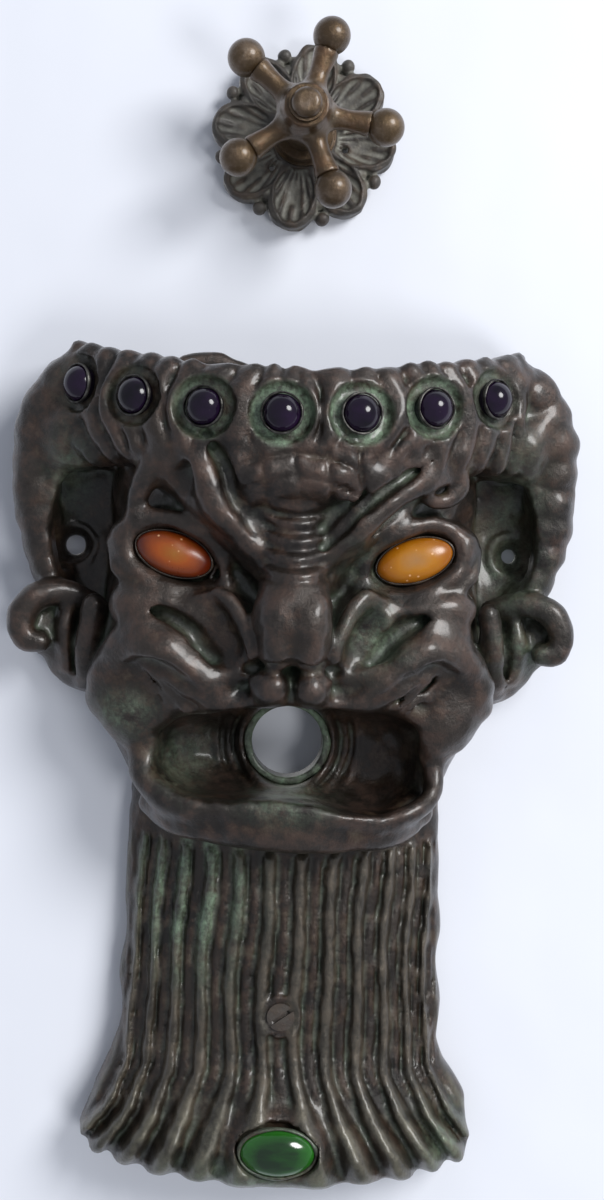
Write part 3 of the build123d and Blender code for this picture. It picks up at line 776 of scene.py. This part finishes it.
def beard_ridges(points):
    """One on the beard's ridges, nothing between them."""
    x, _, z = points.T
    return np.exp(-((from_whole(beard_lines(x, z)) / 0.24) ** 4)) * ramp(-z, 32, 36)


def build_mask():
    clay = mask_clay(1.1)
    obj, points, hollow = cast(clay, "mask", "mask", 1.0)
    set_attribute(obj, "green", green_places(points, hollow))
    powder = 0.36 + 0.45 * ramp(-points[:, 2], 110, 135)
    set_attribute(obj, "dusty", beard_ridges(points) * powder)
    swap_in(obj, bronze("mask_bronze"), "mask_bronze", "mask_casting")


# ---- materials


class Finish:
    """A node material, built up step by step."""

    def __init__(self, name):
        self.material = bpy.data.materials.new(name)
        self.material.use_nodes = True
        self.tree = self.material.node_tree
        self.shader = self.tree.nodes["Principled BSDF"]
        self.place = self.node("ShaderNodeTexCoord").outputs["Object"]

    def node(self, kind, inputs=None, **settings):
        made = self.tree.nodes.new(kind)
        for key, value in settings.items():
            setattr(made, key, value)
        for key, value in (inputs or {}).items():
            if isinstance(value, bpy.types.NodeSocket):
                self.tree.links.new(value, made.inputs[key])
            else:
                made.inputs[key].default_value = value
        return made

    def noise(self, scale, detail=5, roughness=0.6, stretch=None):
        place = self.place
        if stretch:
            place = self.node("ShaderNodeVectorMath", {0: place, 1: stretch}, operation="MULTIPLY").outputs[0]
        inputs = {"Vector": place, "Scale": scale, "Detail": detail, "Roughness": roughness}
        return self.node("ShaderNodeTexNoise", inputs).outputs["Fac"]

    def attribute(self, name):
        return self.node("ShaderNodeAttribute", attribute_name=name).outputs["Fac"]

    def spread(self, value, low, high, to_low=0.0, to_high=1.0):
        inputs = {"Value": value, "From Min": low, "From Max": high, "To Min": to_low, "To Max": to_high}
        return self.node("ShaderNodeMapRange", inputs).outputs["Result"]

    def math(self, operation, a, b):
        return self.node("ShaderNodeMath", {0: a, 1: b}, operation=operation).outputs[0]

    def blend(self, factor, a, b):
        """Colour a where the factor is 0 and colour b where it is 1."""
        # A Mix node of colours has its colours at inputs 6 and 7 and its result at output 2
        return self.node("ShaderNodeMix", {0: factor, 6: a, 7: b}, data_type="RGBA").outputs[2]

    def bump(self, height, distance, strength=1.0):
        inputs = {"Height": height, "Distance": distance, "Strength": strength}
        self.wire("Normal", self.node("ShaderNodeBump", inputs).outputs[0])

    def wire(self, socket, value):
        self.tree.links.new(value, self.shader.inputs[socket])

    def fix(self, **values):
        for key, value in values.items():
            self.shader.inputs[key.replace("_", " ")].default_value = value


DARK_BROWN = (0.009, 0.006, 0.0042, 1)
GREY_BROWN = (0.026, 0.018, 0.0125, 1)
RED_BROWN = (0.062, 0.024, 0.010, 1)
# Near-black painted shade for the deep hollows
HOLLOW_SHADE_BLACK = (0.006, 0.0055, 0.005, 1)
OLIVE = (0.048, 0.058, 0.040, 1)
VERDIGRIS = (0.19, 0.27, 0.18, 1)
PALE_DUST = (0.15, 0.145, 0.105, 1)
LIME_DUST = (0.21, 0.205, 0.175, 1)
# Pale rubbed metal, which also paints a highlight on the ridges
RUBBED_METAL_AND_HIGHLIGHT = (0.12, 0.10, 0.09, 1)

# Dark, middle and warm brown of the other bronzes
ROSETTE_BROWNS = ((0.030, 0.025, 0.021, 1), (0.075, 0.068, 0.060, 1), (0.075, 0.045, 0.025, 1))
KNOB_BROWNS = ((0.055, 0.032, 0.015, 1), (0.10, 0.062, 0.028, 1), (0.12, 0.050, 0.015, 1))
SCREW_BROWNS = ((0.045, 0.036, 0.03, 1), (0.10, 0.085, 0.07, 1), RED_BROWN)

# Edge, middle and core of the agates, and the two ends of each other mixed colour
RED_AGATE = ((0.08, 0.008, 0.0, 1), (0.27, 0.052, 0.001, 1), (0.25, 0.088, 0.008, 1))
AMBER_AGATE = ((0.27, 0.08, 0.001, 1), (0.38, 0.145, 0.002, 1), (0.30, 0.15, 0.05, 1))
PURPLE_PASTE = ((0.002, 0.0012, 0.004, 1), (0.012, 0.004, 0.020, 1))
GREEN_PASTE = ((0.002, 0.016, 0.002, 1), (0.016, 0.12, 0.010, 1))
TARNISH = ((0.03, 0.028, 0.025, 1), (0.13, 0.125, 0.115, 1))
CLOTH_WHITES = ((0.69, 0.71, 0.77, 1), (0.75, 0.77, 0.83, 1))


# Its patina argument scales both the olive colour and the painted shade in the hollows
def bronze(name, browns=(DARK_BROWN, GREY_BROWN, RED_BROWN), metal=0.45, patina_and_shade=1.0, rough=0.36, dust=0.0):
    """Waxed brown bronze: rubbed pale on its ridges with a painted highlight there too; darkened by painted
    shade, green and dusty in its hollows.
    """
    dark, mid, warm = browns
    f = Finish(name)
    broad = f.noise(34, 4)
    mottle = f.noise(120, 7, 0.7)
    grain = f.noise(520, 6, 0.75)
    hollow = f.attribute("hollow")
    green = f.attribute("green")
    colour = f.blend(f.spread(broad, 0.38, 0.62), dark, mid)
    colour = f.blend(f.spread(mottle, 0.47, 0.66, 0, 0.8), colour, warm)
    # Paler rubbed metal on the ridges, which is also a painted highlight where light catches them
    ridge = f.math("MULTIPLY", f.spread(hollow, -0.05, -0.55), f.spread(mottle, 0.35, 0.6))
    colour = f.blend(f.math("MULTIPLY", ridge, 0.25), colour, RUBBED_METAL_AND_HIGHLIGHT)
    # Painted shade: the deepest hollows are darkened towards near-black
    painted_hollow_shade = f.spread(f.math("ADD", hollow, f.math("MULTIPLY", broad, 0.2)), 0.15, 0.75)
    colour = f.blend(f.math("MULTIPLY", painted_hollow_shade, 0.8 * patina_and_shade), colour, HOLLOW_SHADE_BLACK)
    patchy = f.spread(f.math("ADD", mottle, f.math("MULTIPLY", hollow, 0.25)), 0.5, 0.72)
    colour = f.blend(f.math("MULTIPLY", patchy, 0.55 * patina_and_shade), colour, OLIVE)
    powder = f.math("MULTIPLY", f.attribute("dusty"), f.spread(mottle, 0.38, 0.62, 0.25, 1))
    colour = f.blend(powder, colour, PALE_DUST)
    spots = f.math("MULTIPLY", green, f.spread(f.noise(75, 6, 0.7), 0.36, 0.56))
    colour = f.blend(spots, colour, f.blend(f.spread(grain, 0.35, 0.65), OLIVE, VERDIGRIS))
    if dust:
        settled = f.math("MULTIPLY", f.spread(f.math("ADD", hollow, mottle), 0.42, 0.8), dust)
        colour = f.blend(settled, colour, LIME_DUST)
    f.wire("Base Color", colour)
    f.wire("Metallic", f.spread(f.math("ADD", spots, patchy), 0, 1, metal, 0.05))
    worn = f.spread(mottle, 0.3, 0.7, rough - 0.1, rough + 0.12)
    f.wire("Roughness", f.math("ADD", worn, f.math("MULTIPLY", spots, 0.3)))
    f.fix(Coat_Weight=0.45 if rough < 0.5 else 0.1, Coat_Roughness=0.2)
    f.bump(f.math("ADD", mottle, f.math("MULTIPLY", grain, 0.35)), 0.0012, 0.65)
    return f.material


def dark_stone():
    """Nearly black purple glass paste with a faint cloud inside."""
    f = Finish("dark_stone")
    cloud = f.noise(90, 4)
    f.wire("Base Color", f.blend(f.spread(cloud, 0.35, 0.7), *PURPLE_PASTE))
    f.wire("Roughness", f.spread(f.noise(400), 0.3, 0.8, 0.10, 0.2))
    f.fix(Coat_Weight=0.2, Coat_Roughness=0.12, IOR=1.35)
    f.bump(f.noise(260, 4), 0.0002, 0.3)
    return f.material


def agate(name, edge, middle, core):
    """Polished orange agate, with darker edges, clouds and small bubbles."""
    f = Finish(name)
    inward = f.attribute("inward")
    clouds = f.noise(110, 6, 0.65)
    depth = f.math("ADD", inward, f.math("MULTIPLY", clouds, 0.5))
    colour = f.blend(f.spread(depth, 0.35, 0.85), edge, middle)
    colour = f.blend(f.spread(depth, 0.8, 1.25), colour, core)
    bubbles = f.node("ShaderNodeTexVoronoi", {"Vector": f.place, "Scale": 330.0}).outputs["Distance"]
    colour = f.blend(f.spread(bubbles, 0.16, 0.08, 0, 0.5), colour, (0.9, 0.55, 0.3, 1))
    f.wire("Base Color", colour)
    f.wire("Roughness", f.spread(clouds, 0.3, 0.7, 0.26, 0.42))
    f.fix(Coat_Weight=0.25, Coat_Roughness=0.22, Subsurface_Weight=0.05, Subsurface_Scale=0.003)
    f.bump(f.noise(200, 5), 0.0003, 0.4)
    return f.material


def green_stone():
    """Deep green glass paste, lighter where the light comes through at its edge."""
    f = Finish("green_stone")
    inward = f.attribute("inward")
    streaks = f.noise(120, 6, 0.6, (0.4, 1.0, 1.6))
    depth = f.math("ADD", f.spread(inward, 0.0, 0.5, 0.45, 0), f.math("MULTIPLY", streaks, 0.6))
    f.wire("Base Color", f.blend(f.spread(depth, 0.25, 0.7), *GREEN_PASTE))
    f.wire("Roughness", f.spread(f.noise(300), 0.3, 0.7, 0.08, 0.18))
    f.fix(Coat_Weight=0.5, Coat_Roughness=0.16)
    return f.material


def fillet_metal():
    """Dull silver-grey metal of the thin rims that hold the stones."""
    f = Finish("fillet_metal")
    tarnish = f.noise(260, 6, 0.7)
    f.wire("Base Color", f.blend(f.spread(tarnish, 0.42, 0.62), *TARNISH))
    f.wire("Roughness", f.spread(tarnish, 0.3, 0.7, 0.28, 0.5))
    f.fix(Metallic=0.8)
    f.bump(f.noise(500, 5), 0.0003, 0.5)
    return f.material


def dress(name, material):
    """Give a CAD node, which keeps its shape, its material."""
    obj = frame["nodes"][name]
    obj.data.materials.clear()
    obj.data.materials.append(material)


# ---- stones and rims


def stone_frame(node):
    """Centre of a stone's back, and the directions along, across and out of it, in (x, h, z)."""
    low, high = box_mm(node)
    centre = (low + high) / 2
    if node.startswith("crown"):
        out = np.array((centre[0], centre[1] - CROWN_AXIS, 0))
        out /= np.linalg.norm(out)
        along = np.array((out[1], -out[0], 0))
        return centre, along, np.array((0, 0, 1.0)), out
    tilt = {"eye_left_stone": -EYE_TILT, "eye_right_stone": EYE_TILT}.get(node, 0)
    along = np.array((cos(tilt), 0, sin(tilt)))
    return centre, along, np.array((-sin(tilt), 0, cos(tilt))), np.array((0, 1.0, 0))


def outline_at(angle, half_length, half_width, power):
    """A place on a rounded outline, along and across it; power 2 is an ellipse, less is pointed."""
    c, s = cos(angle), sin(angle)
    bulge = (abs(c) ** power + abs(s) ** power) ** (-1 / power)
    return half_length * bulge * c, half_width * bulge * s


def dome(name, node, half_length, half_width, base, rise, power, lump=0.15):
    """A polished stone: a skirt down into its seat, and a dome over a rounded outline."""
    centre, along, across, out = stone_frame(node)
    around, rings = 64, 18
    points, inward = [], []
    for ring in range(rings + 1):
        t = ring / rings
        reach, height = cos(t * pi / 2), sin(t * pi / 2)
        for step in range(around):
            angle = 2 * pi * step / around
            u, v = outline_at(angle, half_length, half_width, power)
            points.append(centre + u * reach * along + v * reach * across + (base + rise * height) * out)
            inward.append(1 - reach * (abs(cos(angle)) ** 4 * 0.15 + 0.85))
    points = np.array(points)
    bump = lump * GRAIN.at(points[:, 0], points[:, 1], points[:, 2], 4.0)
    points += bump[:, None] * out
    top = len(points) - around
    skirt = [p - (base + 3.0) * out for p in points[:around]]
    points = np.vstack((points[:top], [points[top:].mean(0)], skirt))
    faces = []
    for step in range(around):
        following = (step + 1) % around
        for ring in range(rings - 1):
            a, b = ring * around + step, ring * around + following
            faces.append((a, b, b + around, a + around))
        faces.append((top - around + step, top - around + following, top))
        faces.append((top + 1 + step, top + 1 + following, following, step))
    faces.append([top + 1 + step for step in range(around)][::-1])
    obj = mesh_of(name, points, faces, "mask")
    set_attribute(obj, "inward", inward[:top] + [1.0] + [0.0] * around)
    return obj


def rim_of(name, node, half_length, half_width, base, power, thick):
    """A thin uneven rim of metal rubbed over a stone's edge."""
    centre, along, across, out = stone_frame(node)
    around, sides = 72, 10
    points = []
    for step in range(around):
        angle = 2 * pi * step / around
        u, v = outline_at(angle, half_length, half_width, power)
        radial = cos(angle) * along + sin(angle) * across
        middle = centre + u * along + v * across + base * out
        size = thick * (1 + 0.18 * sin(3 * angle + 1.1) + 0.12 * sin(7 * angle))
        for side in range(sides):
            turn = 2 * pi * side / sides
            points.append(middle + size * (cos(turn) * radial + 1.7 * sin(turn) * out))
    faces = []
    for step in range(around):
        for side in range(sides):
            a = step * sides + side
            b = step * sides + (side + 1) % sides
            c, d = ((a + sides) % (around * sides), (b + sides) % (around * sides))
            faces.append((a, c, d, b))
    return mesh_of(name, np.array(points), faces, "mask")


def build_stones():
    paste, metal, seat = dark_stone(), fillet_metal(), bronze("seat_bronze", patina_and_shade=1.2)
    for index in range(1, 8):
        node = f"crown_stone_{index}"
        stone = dome(f"crown_jewel_{index}", node, 6.2, 6.2, -0.2, 6.0, 2.0, lump=0.08)
        swap_in(stone, paste, "dark_stone", node)
        ring = rim_of(f"crown_rim_{index}", node, 6.5, 6.5, 1.3, 2.0, 0.42)
        swap_in(ring, metal, "bezel_metal", f"crown_bezel_{index}")
    eyes = {"left": agate("red_agate", *RED_AGATE), "right": agate("amber_agate", *AMBER_AGATE)}
    for side, material in eyes.items():
        node = f"eye_{side}_stone"
        stone = dome(f"eye_{side}_jewel", node, 13.0, 7.0, -0.6, 4.4, 1.93)
        swap_in(stone, material, "amber_stone", node)
        ring = rim_of(f"eye_{side}_rim", node, 13.3, 7.3, -0.6, 1.93, 0.45)
        swap_in(ring, seat, "bezel_metal", f"eye_{side}_collet")
    stone = dome("beard_jewel", "beard_stone", 12.5, 7.75, -0.5, 5.4, 2.0)
    swap_in(stone, green_stone(), "green_stone", "beard_stone")
    ring = rim_of("beard_rim", "beard_stone", 13.0, 8.2, -0.2, 2.0, 0.7)
    set_attribute(ring, "green", np.full(len(ring.data.vertices), 0.5))
    swap_in(ring, seat, "bezel_metal", "beard_collet")


# ---- rosette and knob


def rosette_clay(step):
    """Eight veined petals with raised rims, four beads between each two, and a beaded boss."""
    x0, _, z0 = KNOB
    clay = Clay((x0 - 36, -2, z0 - 36), (x0 + 36, 14, z0 + 36), step)
    cuts, x, h, z = clay.window()
    x, z = x - x0, z - z0
    radius = apart(x, z)
    angle = np.arctan2(z, x)

    def bead(reach, heading, rise, size, blend):
        bx, bz = reach * cos(heading), reach * sin(heading)
        clay.merge(cuts, np.sqrt((x - bx) ** 2 + (z - bz) ** 2 + (h - rise) ** 2) - size, blend)

    plate = soft_max(radius - 29 - 0.8 * np.cos(PETALS * (angle - PETAL_TURN)), h - 3.2, 1)
    clay.merge(cuts, plate, 0)
    headings = [PETAL_TURN + index * 2 * pi / PETALS for index in range(PETALS)]
    for heading in headings:
        along = x * cos(heading) + z * sin(heading) - PETAL_REACH
        across = z * cos(heading) - x * sin(heading)
        share = np.clip(np.sqrt((along / PETAL_LENGTH) ** 2 + (across / PETAL_WIDTH) ** 2), 0, 1.4)
        fan = np.arctan2(across, along + 15)
        veins = np.abs(np.cos(fan * 17)) ** 3
        height = 4.2 + 2.4 * share**2 + 0.75 * veins * ramp(share, 0.2, 0.55) * ramp(-share, -0.92, -0.8)
        height = height + 1.1 * bell(share - 0.9, 0.07)
        widening = across / (PETAL_WIDTH * (1 + 0.018 * along))
        outline = (np.sqrt((along / PETAL_LENGTH) ** 2 + widening**2) - 1) * PETAL_WIDTH
        clay.merge(cuts, soft_max(outline * 0.9, (h - height) * 0.7, 0.8), 0.5)
        # Beads between this petal and the next: distance from the middle, turn aside, radius
        middle = heading + pi / PETALS
        for reach, swing, size in ((29.8, 0, 2.5), (27.4, 0.105, 1.9), (27.4, -0.105, 1.9), (24.4, 0, 2.1)):
            bead(reach, middle + swing, 4.2, size, 0.4)
    boss = soft_max(radius - 12, h - 7.8, 1)
    clay.merge(cuts, boss, 1.2)
    for heading in headings:
        bead(12.6, heading + pi / PETALS, 4.6, 2.6, 0.8)
    for index in range(3):
        heading = radians(105 + index * 120)
        px, pz = PIN_CIRCLE * cos(heading), PIN_CIRCLE * sin(heading)
        clay.merge(cuts, apart(x, z, (px, pz)) - PIN_RADIUS, 0.2, cut=True)
    clay.dent(0.3 * GRAIN.at(x, h, z, 3.2))
    bore = radius - (box_mm("rosette_bush")[1][0] - x0 - 1.9)
    clay.merge(cuts, bore, 0, cut=True)
    recess = np.maximum(radius - 10.5, h - 3)
    clay.merge(cuts, recess, 0, cut=True)
    clay.trim(-h)
    return clay


def build_rosette():
    clay = rosette_clay(0.5)
    obj, _, _ = cast(clay, "petal_rosette", "mask", 1.3)
    finish = bronze("rosette_bronze", ROSETTE_BROWNS, metal=0.2, patina_and_shade=0.5, rough=0.5, dust=0.75)
    swap_in(obj, finish, "rosette_bronze", "rosette")


def knob_clay(step):
    """The spider of the knob: a waisted hub drawn out into five arms that widen to their ends."""
    x0, _, z0 = KNOB
    front = box_mm("knob_hub")[1][1]
    back = box_mm("knob_hub")[0][1]
    clay = Clay((x0 - 26, back - 2, z0 - 26), (x0 + 26, front + 2, z0 + 26), step)
    cuts, x, h, z = clay.window()
    radius = apart(x, z, (x0, z0))
    waist = np.interp(h, (back, back + 5, back + 11, front - 3, front), (8.2, 7.8, 10.2, 8.4, 7.4))
    clay.merge(cuts, np.maximum((radius - waist) * 0.9, np.maximum(h - front, back - h)), 0)
    for index in range(1, 6):
        ball = centre_mm(f"arm_ball_{index}")
        heading = atan2(ball[2] - z0, ball[0] - x0)
        line = [
            (x0 + reach * cos(heading), ball[1] - drop, z0 + reach * sin(heading), size)
            for reach, drop, size in ((3, 2, 5.2), (9, 0.4, 4.1), (14, 0, 3.5), (19, 0, 3.9), (21.4, 0, 4.3))
        ]
        clay.tube(line, blend=2.2)
        reach = (x - x0) * cos(heading) + (z - z0) * sin(heading)
        clay.trim(np.where(reach > 18, reach - 22.2, -5))
    clay.merge(cuts, radius - 2.5, 0.2, cut=True)
    clay.dent(0.18 * GRAIN.at(x, h, z, 4))
    return clay


def build_knob():
    golden = bronze("knob_bronze", KNOB_BROWNS, metal=0.7, patina_and_shade=0.7, dust=0.35)
    obj, _, _ = cast(knob_clay(0.55), "knob_spider", "knob", 1.0)
    arms = [f"knob_arm_{index}" for index in range(1, 6)]
    swap_in(obj, golden, "knob_bronze", "knob_hub", *arms)
    for name in ["knob_cap", "knob_stem", *[f"arm_ball_{index}" for index in range(1, 6)]]:
        dress(name, golden)
    dress("stem_ring", fillet_metal())
    dress("rosette_bush", golden)


def build_bush():
    """The rough collar about the mouth's hole."""
    clay = Clay((-19, -2, -19), (19, 18, 19), 0.6)
    cuts, x, h, z = clay.window()
    radius = apart(x, z)
    outer = np.interp(h, (0, 8, 9, BUSH_FRONT), (15, 15, 15.8, 14.8))
    ring = np.maximum(radius - outer, np.maximum(-h, h - BUSH_FRONT))
    clay.merge(cuts, ring, 0)
    worn = ramp(h, 8.5, 10)
    clay.dent(worn * (0.45 * GRAIN.at(x, h, z, 4) + 0.3 * LUMPS.at(x, h, z, 8)))
    clay.trim(np.maximum(HOLE_RADIUS - radius, -h))
    points, quads = clay.surface()
    obj = mesh_of("mouth_collar", points, quads, "mask")
    set_attribute(obj, "hollow", np.full(len(points), 0.4))
    set_attribute(obj, "green", 0.75 * ramp(points[:, 1], 8, 11))
    swap_in(obj, bronze("bush_bronze", rough=0.45), "bush_bronze", "mouth_bush")


build_mask()
build_stones()
build_rosette()
build_knob()
build_bush()
dress("beard_screw", bronze("screw_bronze", SCREW_BROWNS, rough=0.42))


# ---- stage, light and camera


def build_stage():
    """The white cloth, a plane just behind the part."""
    reach, behind_part = 3, 0.002
    turns = ((-1, -1), (1, -1), (1, 1), (-1, 1))
    corners = [(reach * across, behind_part, reach * up) for across, up in turns]
    mesh = bpy.data.meshes.new("cloth")
    mesh.from_pydata(corners, [], [(0, 1, 2, 3)])
    cloth = bpy.data.objects.new("cloth", mesh)
    bpy.context.scene.collection.objects.link(cloth)
    f = Finish("cloth")
    f.wire("Base Color", f.blend(f.spread(f.noise(3.0, 3), 0.3, 0.7), *CLOTH_WHITES))
    f.fix(Roughness=0.9)
    f.bump(f.noise(6.0, 3), 0.01, 0.35)
    # Seen from behind, or by light bounced off the part's back, the cloth isn't there
    behind = f.node("ShaderNodeNewGeometry").outputs["Backfacing"]
    path = f.node("ShaderNodeLightPath").outputs
    away = f.math("MAXIMUM", behind, f.math("MAXIMUM", path["Is Diffuse Ray"], path["Is Shadow Ray"]))
    clear = f.node("ShaderNodeBsdfTransparent").outputs[0]
    mixed = f.node("ShaderNodeMixShader", {0: away, 1: f.shader.outputs[0], 2: clear}).outputs[0]
    f.tree.links.new(mixed, f.tree.nodes["Material Output"].inputs["Surface"])
    mesh.materials.append(f.material)


def area_light(name, place, size, power):
    """A round soft light, aimed at the mouth's hole."""
    data = bpy.data.lights.new(name, "AREA")
    data.shape = "DISK"
    data.size = size
    data.energy = power
    lamp = bpy.data.objects.new(name, data)
    bpy.context.scene.collection.objects.link(lamp)
    lamp.location = place
    direction = -Vector(place)
    lamp.rotation_euler = direction.to_track_quat("-Z", "Y").to_euler()
    return lamp


def build_camera():
    data = bpy.data.cameras.new("camera")
    camera = bpy.data.objects.new("camera", data)
    bpy.context.scene.collection.objects.link(camera)
    distance = 0.56
    frame_height = 0.432  # of what the view takes in at the door's face
    data.sensor_fit = "VERTICAL"
    data.sensor_height = 24
    data.lens = data.sensor_height * distance / frame_height
    data.shift_x = 0.037
    across, up = -0.0118, 0.0495  # the view's middle, from the hole in the mouth
    lean = radians(-1.6)  # the photograph's tilt in its own plane
    camera.location = (across, -distance, up)
    camera.rotation_euler = (pi / 2, lean, 0)
    bpy.context.scene.camera = camera


build_stage()
area_light("window", (0.9, -1.1, 0.7), 0.7, 23)
area_light("fill", (0.7, -1.3, -0.5), 0.5, 7).visible_glossy = False
area_light("behind", (-0.5, 1.4, 0.8), 1.2, 12)
world = bpy.data.worlds.new("world")
bpy.context.scene.world = world
world.use_nodes = True
sky = world.node_tree.nodes["Background"].inputs
sky["Color"].default_value = (0.8, 0.85, 0.95, 1)
sky["Strength"].default_value = 0.45
build_camera()
bpy.context.scene.view_settings.view_transform = "Standard"
